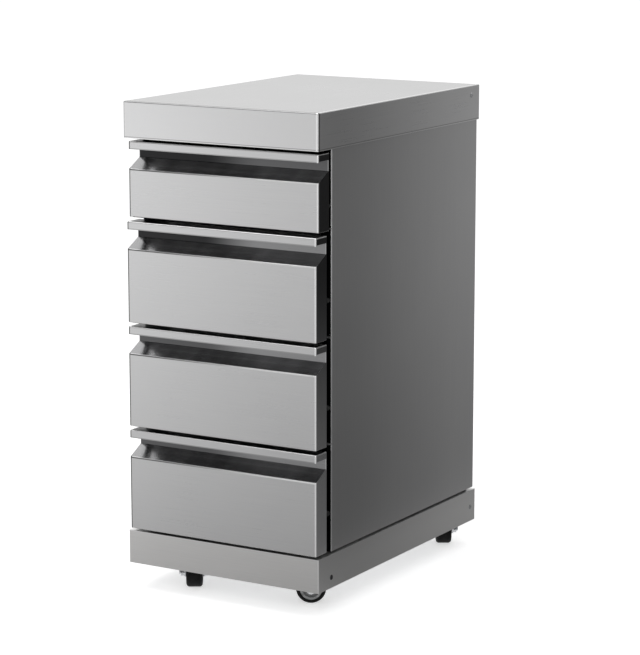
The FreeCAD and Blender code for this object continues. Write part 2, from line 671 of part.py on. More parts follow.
def make_front(number, bottom, tall, out):
    """Drawer front: face, finger recess and lip folded from one sheet, with closed ends."""
    body = new_body(f"drawer_front_{number}")
    folded = new_sketch(body, "YZ", f"-{SIDE}")
    draw_polygon(folded, front_outline(tall))
    pad(body, folded, f"2 * {SIDE}")
    face_top = f"({tall} - lip_height - mouth)"
    end = new_sketch(body, "YZ", SIDE)
    draw_polygon(end, (("0", "0"), ("pan_depth", "0"),
                       ("pan_depth", f"{face_top} + pan_depth * {SLOPE}"), ("0", face_top)))
    side_plate = pad(body, end, "front_sheet", True)
    tab = new_sketch(body, "YZ", SIDE)
    draw_rectangle(tab, "0", "pan_depth", f"{tall} - lip_height + tab_trim", tall)
    lip_tab = pad(body, tab, "front_sheet", True)
    mirror_features(body, [side_plate, lip_tab])
    half, face, high = value(SIDE), value(face_top), value(tall)

    def is_bend(edge):
        beside = lies_at(edge, "x", half) or lies_at(edge, "x", -half)
        ahead = lies_at(edge, "y", 0)
        flat = lies_at(edge, "z", 0) or lies_at(edge, "z", high) or lies_at(edge, "z", face)
        return (beside and ahead) or (ahead and flat) or (beside and flat)

    round_edges(body, is_bend, "bend_radius")
    place(body, "0", f"{CLOSED_FACE} - {out}", bottom)
    node(body, f"drawer_front_{number}")


def box_screw_spots(box):
    """Places of the screws in a drawer box's front wall, from the box's middle and floor."""
    return [(f"{sign} * box_screw_place", height)
            for sign in (-1, 1) for height in ("box_screw_drop", f"({box} - box_screw_drop)")]


def make_liner(number, bottom, tall, box, out):
    """Flat sheet that closes the back of a drawer front."""
    half = f"({SIDE} - front_sheet - fold_gap)"
    body = new_body(f"drawer_liner_{number}")
    outline = new_sketch(body, "XZ", "-pan_depth")
    draw_rectangle(outline, f"-{half}", half, "front_sheet + fold_gap",
                   f"{tall} - lip_height - mouth + slope_rise - liner_gap")
    pad(body, outline, "liner_sheet")
    spots = [(x, f"box_rise + {z}") for x, z in box_screw_spots(box)]
    drill(body, "XZ", "-pan_depth", spots, "screw_radius", "2 * liner_sheet", True)
    place(body, "0", f"{CLOSED_FACE} - {out}", bottom)
    node(body, f"drawer_liner_{number}")


def box_sheets(box):
    """Sheets of a drawer box but its front wall: name, and span across, along and upwards."""
    wall, rim = f"({BOX_SIDE} - box_sheet)", f"({BOX_SIDE} - box_rim)"
    wall_end, rim_end = "(box_length - box_sheet)", "(box_length - box_rim)"
    whole, walls = (f"-{BOX_SIDE}", BOX_SIDE), ("box_sheet", wall_end)
    upright, folded = ("box_sheet", box), (f"({box} - box_sheet)", box)
    return (
        ("floor", whole, ("0", "box_length"), ("0", "box_sheet")),
        ("back", whole, (wall_end, "box_length"), upright),
        ("left", (f"-{BOX_SIDE}", f"-{wall}"), walls, upright),
        ("right", (wall, BOX_SIDE), walls, upright),
        ("front_rim", (f"-{wall}", wall), ("box_sheet", "box_rim"), folded),
        ("back_rim", (f"-{wall}", wall), (rim_end, wall_end), folded),
        ("left_rim", (f"-{wall}", f"-{rim}"), ("box_rim", rim_end), folded),
        ("right_rim", (rim, wall), ("box_rim", rim_end), folded),
    )


def make_box(number, bottom, box, out):
    """Drawer box: floor, four walls and a rim turned in all round, of welded sheet."""
    y, z = f"({CLOSED_FACE} + pan_depth - {out})", f"({bottom} + box_rise)"
    front = new_body(f"box_front_{number}")
    wall = new_sketch(front, "XZ")
    draw_rectangle(wall, f"-{BOX_SIDE}", BOX_SIDE, "box_sheet", box)
    for spot_x, spot_z in box_screw_spots(box):
        draw_circle(wall, spot_x, spot_z, "screw_radius")
    pad(front, wall, "box_sheet", True)
    place(front, "0", y, z)
    sheets = [front]
    for name, across, along, upwards in box_sheets(box):
        sheet_body = new_body(f"box_{name}_{number}")
        outline = new_sketch(sheet_body, "XY", upwards[0])
        draw_rectangle(outline, *across, *along)
        pad(sheet_body, outline, f"{upwards[1]} - {upwards[0]}")
        place(sheet_body, "0", y, z)
        sheets.append(sheet_body)
    group(f"box_{number}", sheets, f"drawer_box_{number}")


def make_front_screws(number, bottom, box, out):
    """Screws from inside the box that hold its front wall to the drawer front's liner."""
    wall = f"({CLOSED_FACE} + pan_depth + box_sheet - {out})"
    screws = [
        screw(f"front_screw_{number}_{index}", x, wall, f"{bottom} + box_rise + {z}", (0, 1, 0))
        for index, (x, z) in enumerate(box_screw_spots(box))]
    group(f"front_screws_{number}", screws, f"front_screws_{number}")


def make_caster_plates():
    """Caster top plates, each with its upper ball race and the rivet that the fork turns on."""
    plates = []
    for name, x, y, turn in CASTERS:
        plate = new_body(f"plate_{name}")
        outline = new_sketch(plate, "XY", PLATE_BOTTOM)
        draw_rectangle(outline, f"{x} - plate_side / 2", f"{x} + plate_side / 2",
                       f"{y} - plate_side / 2", f"{y} + plate_side / 2")
        for right in (-1, 1):
            for back in (-1, 1):
                draw_circle(outline, f"{x} + {right} * bolt_place", f"{y} + {back} * bolt_place",
                            "bolt_radius")
        pad(plate, outline, "plate_thick")
        race = new_sketch(plate, "XY", f"{PLATE_BOTTOM} - race_height")
        draw_circle(race, x, y, "race_radius")
        pad(plate, race, "race_height")
        low = f"({CROWN_BOTTOM} - seat_gap - pin_head_height)"
        pin = new_sketch(plate, "XY", low)
        draw_circle(pin, x, y, "pin_radius")
        pad(plate, pin, f"{PLATE_BOTTOM} - {low}")
        head = new_sketch(plate, "XY", low)
        draw_circle(head, x, y, "pin_head")
        pad(plate, head, "pin_head_height")
        plates.append(plate)
    group("caster_plates", plates, "caster_plates")


def make_caster_bolts():
    """Bolts and nuts that hold the caster plates to the channels."""
    bolts = []
    for name, x, y, turn in CASTERS:
        for right in (-1, 1):
            for back in (-1, 1):
                tag = f"{name}_{right + 1}{back + 1}"
                bx, by = f"{x} + {right} * bolt_place", f"{y} + {back} * bolt_place"
                head = cylinder(f"bolt_head_{tag}", "bolt_head", "bolt_head_height",
                                bx, by, f"{PLATE_BOTTOM} - bolt_head_height")
                shank = cylinder(f"bolt_shank_{tag}", "bolt_radius",
                                 "plate_thick + channel_sheet", bx, by, PLATE_BOTTOM)
                nut = hexagon(f"bolt_nut_{tag}", "bolt_head", "nut_height", bx, by,
                              "caster_height + channel_sheet")
                bolts.append(fuse(f"bolt_{tag}", [head, shank, nut]))
    group("caster_bolts", bolts, "caster_bolts")


def make_fork(name, x, y, turn):
    """Swivelling fork: a crown under the race with two legs down to the axle."""
    body = new_body(f"caster_fork_{name}")
    crown = new_sketch(body, "XY", CROWN_BOTTOM)
    draw_circle(crown, "0", "0", "crown_radius")
    pad(body, crown, "crown_thick")
    bridge = new_sketch(body, "XY", CROWN_BOTTOM)
    draw_rectangle(bridge, "-fork_width / 2", "fork_width / 2", f"-{FORK_SIDE}", FORK_SIDE)
    pad(body, bridge, "crown_thick")
    for sign in (-1, 1):
        leg = new_sketch(body, "XZ", f"{sign} * {FORK_SIDE}")
        draw_polygon(leg, (
            ("-fork_width / 2", CROWN_TOP), ("-fork_width / 2", CROWN_BOTTOM),
            ("trail - fork_eye", "wheel_radius"), ("trail + fork_eye", "wheel_radius"),
            ("trail + fork_eye", "wheel_radius + fork_eye"), ("fork_width / 2", CROWN_BOTTOM),
            ("fork_width / 2", CROWN_TOP)))
        pad(body, leg, "fork_sheet", sign > 0)
        eye = new_sketch(body, "XZ", f"{sign} * {FORK_SIDE}")
        draw_circle(eye, "trail", "wheel_radius", "fork_eye")
        pad(body, eye, "fork_sheet", sign > 0)
    bore = new_sketch(body, "XZ", FORK_SIDE)
    draw_circle(bore, "trail", "wheel_radius", "axle_radius")
    pocket(body, bore, f"2 * {FORK_SIDE}")
    seat = new_sketch(body, "XY", CROWN_TOP)
    draw_circle(seat, "0", "0", "pin_radius + running_gap")
    pocket(body, seat, "crown_thick")
    place(body, x, y, "0", turn)
    node(body, f"caster_fork_{name}")


def make_axle(name, x, y, turn):
    """Axle bolt through the fork's legs and the wheel, with a hexagon nut on its end."""
    head = hexagon(f"axle_head_{name}", "axle_nut", "axle_nut_height", "trail", FORK_SIDE,
                   "wheel_radius", (0, 1, 0))
    shank = cylinder(f"axle_shank_{name}", "axle_radius",
                     f"2 * {FORK_SIDE} + axle_nut_height + axle_end", "trail", FORK_SIDE,
                     "wheel_radius", (0, -1, 0))
    nut = hexagon(f"axle_nut_{name}", "axle_nut", "axle_nut_height", "trail", f"-{FORK_SIDE}",
                  "wheel_radius", (0, -1, 0))
    axle = fuse(f"caster_axle_{name}", [head, shank, nut])
    place(axle, x, y, "0", turn)
    node(axle, f"caster_axle_{name}")


def wheel_place(body, x, y, turn):
    """Sets a turned wheel piece on its axle, its own X axis along the axle."""
    side_turn = App.Rotation(App.Vector(0, 0, 1), 90)
    body.Placement = App.Placement(App.Vector(), side_turn)
    bind(body, "Placement.Rotation.Angle", f"{turn} + 90")
    bind(body, "Placement.Base.x", f"{x} + trail * cos({turn} * 1 deg)")
    bind(body, "Placement.Base.y", f"{y} + trail * sin({turn} * 1 deg)")
    bind(body, "Placement.Base.z", "wheel_radius")


def make_hub(name, x, y, turn):
    """Wheel centre: boss, web and rim turned in one piece."""
    body = new_body(f"wheel_hub_{name}")
    sketch = new_sketch(body, "XZ")
    boss = f"({WHEEL_SIDE} - seat_gap)"
    rim = "(tyre_width / 2 - hub_inset)"
    bore = "(axle_radius + running_gap)"
    tread = "(wheel_radius - tyre_thick)"
    draw_polygon(sketch, (
        (f"-{boss}", bore), (boss, bore), (boss, "hub_boss"), ("hub_web / 2", "hub_boss"),
        ("hub_web / 2", f"{tread} - hub_rim"), (rim, f"{tread} - hub_rim"), (rim, tread),
        (f"-{rim}", tread), (f"-{rim}", f"{tread} - hub_rim"),
        ("-hub_web / 2", f"{tread} - hub_rim"), ("-hub_web / 2", "hub_boss"),
        (f"-{boss}", "hub_boss")))
    revolve(body, sketch)
    wheel_place(body, x, y, turn)
    node(body, f"wheel_hub_{name}")


def make_tyre(name, x, y, turn):
    """Rubber tyre with rounded shoulders."""
    body = new_body(f"wheel_tyre_{name}")
    sketch = new_sketch(body, "XZ")
    draw_rectangle(sketch, "-tyre_width / 2", "tyre_width / 2", "wheel_radius - tyre_thick",
                   "wheel_radius")
    revolve(body, sketch)
    outer = value("wheel_radius")

    def is_shoulder(edge):
        curve = edge.Curve
        return isinstance(curve, Part.Circle) and abs(curve.Radius - outer) < 1e-4

    round_edges(body, is_shoulder, "tyre_round")
    wheel_place(body, x, y, turn)
    node(body, f"wheel_tyre_{name}")


def screw(name, x, y, z, outward):
    """Low-headed screw standing on a surface, its shank running inwards."""
    inward = tuple(-part for part in outward)
    head = cylinder(name + "_head", "screw_head", "screw_dome", x, y, z, outward)
    shank = cylinder(name + "_shank", "screw_radius", "screw_length", x, y, z, inward)
    return fuse(name, [head, shank])


def make_panel_screws():
    """Screws in the plinth's sides, the side aprons and the back of the cabinet."""
    screws = []
    for sign in (-1, 1):
        side = side_name(sign)
        for label, y, z in SIDE_SCREWS:
            name = f"screw_{label}_{side}"
            screws.append(screw(name, f"{sign} * {HALF}", y, z, (sign, 0, 0)))
        for index, z in enumerate(BACK_SCREW_HEIGHTS):
            name = f"screw_back_{index}_{side}"
            x = f"{sign} * {BACK_SCREW_X}"
            screws.append(screw(name, x, CARCASS_BACK, z, (0, 1, 0)))
    group("panel_screws", screws, "panel_screws")


def check_document():
    """Stops if any object failed or any sub-part is not a sound solid."""
    for item in doc.Objects:
        if "Invalid" in item.State or "Error" in item.State:
            raise RuntimeError(f"{item.Name} failed: {item.State}")
    for item in NODES:
        shape = item.Shape
        if shape.isNull() or not shape.isValid() or not shape.Solids:
            raise RuntimeError(f"{item.Label} is not a sound solid")


make_countertop()
make_stiffeners()
make_side_panel("side_panel_left", -1)
make_side_panel("side_panel_right", 1)
make_back_panel()
make_bottom_panel()
make_cross_rails()
make_slide_posts()
make_outer_rails()
make_bumpers()
make_plinth()
make_base_seal()
make_channels()
make_caster_plates()
make_caster_bolts()
make_panel_screws()
for number, bottom, tall, box, out in DRAWERS:
    make_front(number, bottom, tall, out)
    make_liner(number, bottom, tall, box, out)
    make_box(number, bottom, box, out)
    make_front_screws(number, bottom, box, out)
    make_inner_rails(number, bottom, out)
    make_middle_rails(number, bottom, out)
for name, x, y, turn in CASTERS:
    make_fork(name, x, y, turn)
    make_axle(name, x, y, turn)
    make_hub(name, x, y, turn)
    make_tyre(name, x, y, turn)
doc.recompute()
check_document()

os.makedirs("parts", exist_ok=True)
for item in NODES:
    item.Shape.exportStep(f"parts/{item.Label}.step")
print(f"{len(NODES)} sub-parts written")
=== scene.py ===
# Outdoor kitchen drawer unit: finishes, small fittings, studio light and camera.
# Metres, with the origin on the floor under the middle of the unit, +X right, +Y back, +Z up.
import bpy
import json
import math
from functools import partial
from mathutils import Matrix, Vector


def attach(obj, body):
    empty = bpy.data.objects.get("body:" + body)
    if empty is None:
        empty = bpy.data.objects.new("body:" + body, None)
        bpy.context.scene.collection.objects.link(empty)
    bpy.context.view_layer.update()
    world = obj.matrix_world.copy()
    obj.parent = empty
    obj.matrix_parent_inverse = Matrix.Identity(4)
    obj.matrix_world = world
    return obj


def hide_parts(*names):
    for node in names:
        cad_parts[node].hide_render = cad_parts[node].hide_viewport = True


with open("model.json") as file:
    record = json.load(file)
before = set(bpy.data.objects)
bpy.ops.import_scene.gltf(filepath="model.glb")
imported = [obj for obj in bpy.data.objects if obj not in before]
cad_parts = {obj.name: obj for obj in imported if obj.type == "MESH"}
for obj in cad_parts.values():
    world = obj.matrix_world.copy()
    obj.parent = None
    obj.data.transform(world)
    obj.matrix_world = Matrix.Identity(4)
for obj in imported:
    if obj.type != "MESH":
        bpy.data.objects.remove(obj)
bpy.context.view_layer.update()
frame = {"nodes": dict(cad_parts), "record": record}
MM = 0.001

# Kinds of node that most of the trees below use, and their settings.
MATH, RANGE, MIX = "ShaderNodeMath", "ShaderNodeMapRange", "ShaderNodeMix"
NOISE, MAPPING, PLACES = "ShaderNodeTexNoise", "ShaderNodeMapping", "ShaderNodeTexCoord"
AXES, VECTOR = "ShaderNodeSeparateXYZ", "ShaderNodeCombineXYZ"
SMOOTH = {"interpolation_type": "SMOOTHSTEP"}
COLOURS = {"data_type": "RGBA"}
# Levels that a noise texture rarely leaves, and the part of a drawn line's width that is full.
NOISE_LOW, NOISE_HIGH, LINE_CORE = 0.3, 0.7, 0.4


def linear(code):
    """Linear colour of an sRGB hex code."""
    parts = [int(code[place:place + 2], 16) / 255 for place in (0, 2, 4)]
    lit = [part / 12.92 if part <= 0.04045 else ((part + 0.055) / 1.055) ** 2.4 for part in parts]
    return (*lit, 1.0)


def add(tree, kind, inputs=(), **settings):
    """Adds a node and links it.

    Settings are the node's own values. Inputs are given in order, or by name or number. Each is a
    number, a hex colour, a socket, a node, whose first working output is linked, or a list of these
    for a socket that takes several.
    """
    node = tree.nodes.new(kind)
    for name, setting in settings.items():
        setattr(node, name, setting)
    if not isinstance(inputs, dict):
        inputs = dict(enumerate(inputs))
    for name, given in inputs.items():
        socket = node.inputs[name]
        for source in given if isinstance(given, list) else [given]:
            if isinstance(source, bpy.types.Node):
                source = next(output for output in source.outputs if output.enabled)
            if isinstance(source, bpy.types.NodeSocket):
                tree.links.new(source, socket)
            else:
                socket.default_value = linear(source) if socket.type == "RGBA" else source
    return node


def empty_tree(owner):
    """Node tree of a material or a world, with nothing in it yet."""
    owner.use_nodes = True
    owner.node_tree.nodes.clear()
    return owner.node_tree


def graded(tree, socket, start, end, first, second):
    """Colour that turns smoothly from one into another while a socket runs from start to end."""
    share = add(tree, RANGE, (socket, start, end), **SMOOTH)
    return add(tree, MIX, {0: share, 6: first, 7: second}, **COLOURS)


def line_share(tree, socket, place, strength, width):
    """Share of a thin soft line drawn where a socket has one value."""
    off = add(tree, MATH, (socket, place), operation="SUBTRACT")
    off = add(tree, MATH, (off,), operation="ABSOLUTE")
    return add(tree, RANGE, (off, width, LINE_CORE * width, 0, strength), **SMOOTH)


def painted_edge_lines(tree, spot, colour, lines):
    """Thin painted highlights and painted shade lines along folds, each light or dark by its tone.
    """
    for axis, place, tone, strength, width in lines:
        share = line_share(tree, spot[axis], place, strength, width)
        colour = add(tree, MIX, {0: share, 6: colour, 7: tone}, **COLOURS)
    return colour


# Bands of a drawer front from its top downwards: the lip, and the mouth of the finger recess.
LIP, MOUTH = 15 * MM, 37 * MM
# Where the belt's work fades out behind the face and the folds' painted shade takes over, and where
# the slope meets the recess's wall.
BELT_FADE, SLOPE_FADE = (1.2 * MM, 3.0 * MM), (33 * MM, 35 * MM)
# How far inside a front's outline its ledges and ends begin to show, and show in full.
SKIN_FADE = (1.2 * MM, 0.6 * MM)
# Rolled skin that was never ground is smoother than the face, and a deburred fold is rougher.
MILL_ROUGHNESS, DEBURRED_ROUGHNESS = 0.19, 0.8


def slope_painted_shade(tree, place, spot, low):
    """Painted shade on a front's sloping fold, with painted reflections as stripes across it.

    It is darker on the lower drawers and even at the fold's open left end, where one flat tone is
    painted for the light seen there.
    """
    lower, upper, bands_per_metre = 0.24, 0.66, (22, 2, 2)
    across = add(tree, MAPPING, {"Vector": place, "Scale": bands_per_metre})
    bands = add(tree, NOISE, {"Vector": across, "Scale": 1, "Detail": 2, "Roughness": 0.5})
    dull = graded(tree, spot["Z"], lower, upper, "959596", "AFAFB0")
    bright = graded(tree, spot["Z"], lower, upper, "B2B2B3", "CFCFD0")
    # Painted reflection stripes between a darker and a lighter painted shade.
    banded = graded(tree, bands, NOISE_LOW, NOISE_HIGH, dull, bright)
    return graded(tree, spot["X"], low[0] + 32 * MM, low[0] + 20 * MM, banded, "A8A8A9")


def wall_painted_shade(tree, spot):
    """Painted shade on the wall behind the slope, darker on its left and on the upper drawers."""
    left = graded(tree, spot["Z"], 0.72, 0.40, "303031", "69696A")
    right = graded(tree, spot["Z"], 0.88, 0.60, "616162", "9E9E9F")
    return graded(tree, spot["X"], -60 * MM, 70 * MM, left, right)


def end_painted_shade(tree, spot, low):
    """Painted shade and painted reflection on a front's folded ends, darker on the upper drawers at
    the right.
    """
    right = graded(tree, spot["Z"], 0.66, 0.10, "3C3C3D", "E8E8E9")
    return graded(tree, spot["X"], 0, low[0], right, "C4C4C5")


def front_painted_shade(low, high, lines):
    """Finish of a drawer front: its belt-ground face, and the folds behind, left as rolled and so
    smoother. Painted shade, painted reflections and painted highlight lines are mixed into their
    colour.
    """
    middle, half = (low[2] + high[2]) / 2, (high[2] - low[2]) / 2
    # Painted light on the crease under the recess, shade at its left and a highlight at its right;
    # painted highlight lines along the lip's top and the folds' right end.
    crease_height, crease_light_span = high[2] - LIP - MOUTH - 0.8 * MM, (-150 * MM, 110 * MM)
    fold_painted_lines = [("Z", high[2] - 1.6 * MM, "F6F6F6", 0.8, 1.0 * MM),
                  ("X", high[0] - 1.0 * MM, "C8C8C8", 0.7, 1.0 * MM)]

    def shade(tree, place, spot, colour, rough):
        node = partial(add, tree)
        face = painted_edge_lines(tree, spot, colour, lines)
        crease = line_share(tree, spot["Z"], crease_height, 0.75, 1.6 * MM)
        # Painted shade turning into a painted highlight along the crease.
        crease_painted_light = graded(tree, spot["X"], *crease_light_span, "3C3C3C", "FAFAFA")
        face = node(MIX, {0: crease, 6: face, 7: crease_painted_light}, **COLOURS)
        behind, deepest = [node(RANGE, (spot["Y"], low[1] + start, low[1] + end), **SMOOTH)
                           for start, end in (BELT_FADE, SLOPE_FADE)]
        off = node(MATH, (spot["Z"], middle), operation="SUBTRACT")
        off = node(MATH, (off,), operation="ABSOLUTE")
        side = node(MATH, (spot["X"],), operation="ABSOLUTE")
        ledge, end = [node(RANGE, (reach, limit - SKIN_FADE[0], limit - SKIN_FADE[1]), **SMOOTH)
                      for reach, limit in ((off, half), (side, high[0]))]
        # Painted shade on the slope and the wall behind it, and painted shade and reflection on the
        # ends.
        folds = node(MIX, {0: deepest, 6: slope_painted_shade(tree, place, spot, low),
                           7: wall_painted_shade(tree, spot)}, **COLOURS)
        # Near-black painted shade on the ledges.
        folds = node(MIX, {0: ledge, 6: folds, 7: "1E1E1F"}, **COLOURS)
        folds = node(MIX, {0: end, 6: folds, 7: end_painted_shade(tree, spot, low)}, **COLOURS)
        folds = painted_edge_lines(tree, spot, folds, fold_painted_lines)
        ground = node(MATH, (ledge, end), operation="MAXIMUM")
        ground = node(MATH, (deepest, ground), operation="MAXIMUM")
        rolled = node(MATH, (1, ground), operation="SUBTRACT")
        rolled = node(MATH, (behind, rolled), operation="MULTIPLY")
        return (node(MIX, {0: behind, 6: face, 7: folds}, **COLOURS),
                node(MIX, {0: rolled, 2: rough, 3: MILL_ROUGHNESS}))
    return shade


def panel_painted_shade(low, high, lines):
    """Finish of a side panel, with a painted highlight line along its front edge and near-black
    painted shade on its front flange, folded in behind the drawers.

    The fold itself is deburred, which leaves it matt, most of all towards its top.
    """
    outer = max(abs(low[0]), abs(high[0]))
    skin, flange_end = (0.9 * MM, 1.6 * MM), (low[1] + 24 * MM, low[1] + 18 * MM)
    fold_end = (low[1] + 2.6 * MM, low[1] + 1.2 * MM)

    def shade(tree, place, spot, colour, rough):
        node = partial(add, tree)
        face = painted_edge_lines(tree, spot, colour, lines)
        side = node(MATH, (spot["X"],), operation="ABSOLUTE")
        inside = node(RANGE, (side, outer - skin[0], outer - skin[1]), **SMOOTH)
        ahead = node(RANGE, (spot["Y"], *flange_end), **SMOOTH)
        flange = node(MATH, (inside, ahead), operation="MULTIPLY")
        upward = node(RANGE, (spot["Z"], 0.25, 0.80, 0.25, 0.85), **SMOOTH)
        fold = node(RANGE, (spot["Y"], *fold_end), **SMOOTH)
        matt = node(MATH, (upward, fold), operation="MULTIPLY")
        # Painted shade: the flange behind the drawers is near black.
        return (node(MIX, {0: flange, 6: face, 7: "101011"}, **COLOURS),
                node(MIX, {0: matt, 2: rough, 3: DEBURRED_ROUGHNESS}))
    return shade


def top_painted_light(low, high):
    """Finish of the worktop, whose top face is painted lighter than its aprons, standing in for the
    brighter light it reflects.

    The left edge of its front apron carries a painted shade line.
    """
    top_fade = (high[2] - 1.4 * MM, high[2] - 0.5 * MM)
    apron_fade = (low[1] + 2.4 * MM, low[1] + 1.4 * MM)

    def shade(tree, place, spot, colour, rough):
        node = partial(add, tree)
        # Painted shade line on the front apron's left edge.
        line = line_share(tree, spot["X"], low[0] + 0.9 * MM, 0.8, 1.9 * MM)
        front = node(RANGE, (spot["Y"], *apron_fade), **SMOOTH)
        left_edge = node(MATH, (line, front), operation="MULTIPLY")
        colour = node(MIX, {0: left_edge, 6: colour, 7: "4A4A4A"}, **COLOURS)
        # Painted light: the top face lighter than the aprons.
        top = node(RANGE, (spot["Z"], *top_fade, 0, 0.95), **SMOOTH)
        return node(MIX, {0: top, 6: colour, 7: "F2F2F2"}, **COLOURS), rough
    return shade


def belt_ground_steel(name, dark, light, grain, roughness, lines=(), shade=None):
    """Stainless sheet ground with an abrasive belt.

    The belt leaves straight scratches along the sheet, which smear reflections across them and
    give the face its faint streaks. Real scratches are under 0.1 mm wide; these are drawn about
    a millimetre wide so that they show at all.
    """
    scratch_width, scratch_length, scratch_depth = 0.9 * MM, 160 * MM, 0.05 * MM
    cloud_share, spread = 0.3, 0.04
    stretch = [1 / scratch_width] * 3
    stretch["XYZ".index(grain)] = 1 / scratch_length
    material = bpy.data.materials.new(name)
    tree = empty_tree(material)
    node = partial(add, tree)
    place = node(PLACES).outputs["Object"]
    spot = node(AXES, (place,)).outputs
    along = node(MAPPING, {"Vector": place, "Scale": tuple(stretch)})
    streaks = node(NOISE, {"Vector": along, "Scale": 1, "Detail": 3, "Roughness": 0.62})
    clouds = node(NOISE, {"Vector": place, "Scale": 5.5, "Detail": 4, "Roughness": 0.5})
    both = node(MIX, {0: cloud_share, 2: streaks, 3: clouds})
    share = node(RANGE, (both, NOISE_LOW, NOISE_HIGH))
    colour = node(MIX, {0: share, 6: dark, 7: light}, **COLOURS)
    rough = node(MIX, {0: share, 2: roughness - spread, 3: roughness + spread})
    # The shade step and the lines paint shade and highlights into the colour.
    if shade:
        colour, rough = shade(tree, place, spot, colour, rough)
    colour = painted_edge_lines(tree, spot, colour, lines)
    bump = node("ShaderNodeBump", {"Height": streaks, "Strength": 0.12, "Distance": scratch_depth})
    shader = node("ShaderNodeBsdfPrincipled", {"Base Color": colour, "Roughness": rough,
                                               "Normal": bump, "Metallic": 1})
    node("ShaderNodeOutputMaterial", {"Surface": shader})
    return material


def coated_steel(name, dark, light, roughness, spangle=2.5 * MM):
    """Zinc-coated sheet: a dull grey metal whose crystals show as faint patches of tone."""
    spread = 0.06
    material = bpy.data.materials.new(name)
    tree = empty_tree(material)
    node = partial(add, tree)
    place = node(PLACES).outputs["Object"]
    crystals = node("ShaderNodeTexVoronoi", {"Vector": place, "Scale": 1 / spangle})
    grey = node("ShaderNodeRGBToBW", {"Color": crystals.outputs["Color"]})
    colour = node(MIX, {0: grey, 6: dark, 7: light}, **COLOURS)
    rough = node(MIX, {0: grey, 2: roughness - spread, 3: roughness + spread})
    shader = node("ShaderNodeBsdfPrincipled", {"Base Color": colour, "Roughness": rough,
                                               "Metallic": 1})
    node("ShaderNodeOutputMaterial", {"Surface": shader})
    return material


def moulded(name, dark, light, roughness, gloss=0.5):
    """Moulded rubber or nylon: one even colour, faintly mottled, with a fine matt grain."""
    pit_width, pit_depth, mottle_scale, spread = 0.6 * MM, 0.05 * MM, 60, 0.08
    material = bpy.data.materials.new(name)
    tree = empty_tree(material)
    node = partial(add, tree)
    place = node(PLACES).outputs["Object"]
    mottle = node(NOISE, {"Vector": place, "Scale": mottle_scale, "Detail": 4})
    grain = node(NOISE, {"Vector": place, "Scale": 1 / pit_width, "Detail": 2})
    share = node(RANGE, (mottle, 0.35, 0.65))
    colour = node(MIX, {0: share, 6: dark, 7: light}, **COLOURS)
    rough = node(MIX, {0: mottle, 2: roughness - spread, 3: roughness + spread})
    bump = node("ShaderNodeBump", {"Height": grain, "Strength": 0.3, "Distance": pit_depth})
    shader = node("ShaderNodeBsdfPrincipled", {"Base Color": colour, "Roughness": rough,
                                               "Normal": bump, "Specular IOR Level": gloss})
    node("ShaderNodeOutputMaterial", {"Surface": shader})
    return material


def extent(piece):
    """Lowest and highest corner of a piece."""
    corners = [piece.matrix_world @ Vector(corner) for corner in piece.bound_box]
    return ([min(corner[axis] for corner in corners) for axis in range(3)],
            [max(corner[axis] for corner in corners) for axis in range(3)])


def front_steel(number):
    """Steel of one drawer front, with painted highlights and painted shade lines along its edges
    and painted shade on its folds.
    """
    low, high = extent(frame["nodes"][f"drawer_front_{number}"])
    # Painted highlights (light tones) and painted shade lines (dark tones) along the face's edges.
    lines = [("Z", low[2] + 0.8 * MM, "F6F6F6", 0.7, 1.6 * MM),
             ("Z", high[2] - LIP + 0.8 * MM, "6E6E6E", 0.5, 1.4 * MM),
             ("Z", high[2] - 0.6 * MM, "F6F6F6", 0.8, 1.5 * MM),
             ("X", high[0] - 1.7 * MM, "FFFFFF", 0.95, 1.9 * MM),
             ("X", low[0] + 1.4 * MM, "2C2C2C", 0.88, 2.8 * MM)]
    return belt_ground_steel(f"stainless_belt_ground_across_{number}", "CECECF", "D6D6D6", "X",
                             0.30, shade=front_painted_shade(low, high, lines))


COUNTER_LOW, COUNTER_HIGH = extent(frame["nodes"]["countertop"])
PANEL_LOW, PANEL_HIGH = extent(frame["nodes"]["side_panel_right"])
PLINTH_LOW, PLINTH_HIGH = extent(frame["nodes"]["plinth"])

# Painted highlight and painted shade lines along folds: the axis and place across the line, its
# tone, its strength and its width.
COUNTER_LINES = [
    ("Z", COUNTER_HIGH[2] - 0.8 * MM, "6E6E6E", 0.55, 1.6 * MM),
    ("Z", COUNTER_LOW[2] + 0.5 * MM, "F4F4F4", 0.7, 1.5 * MM),
    ("Z", COUNTER_LOW[2] + 2.4 * MM, "7A7A7A", 0.5, 1.3 * MM),
    ("X", COUNTER_HIGH[0] - 3.6 * MM, "FFFFFF", 0.9, 2.2 * MM),
    ("Y", COUNTER_LOW[1] + 3.0 * MM, "3A3A3A", 0.85, 2.4 * MM)]
PANEL_LINES = [("Y", PANEL_LOW[1] + 0.8 * MM, "FFFFFF", 0.95, 2.4 * MM)]
PLINTH_LINES = [
    ("X", PLINTH_HIGH[0] - 0.8 * MM, "F2F2F2", 0.5, 1.4 * MM),
    ("Z", PLINTH_HIGH[2] - 0.8 * MM, "EEEEEE", 0.5, 1.6 * MM)]

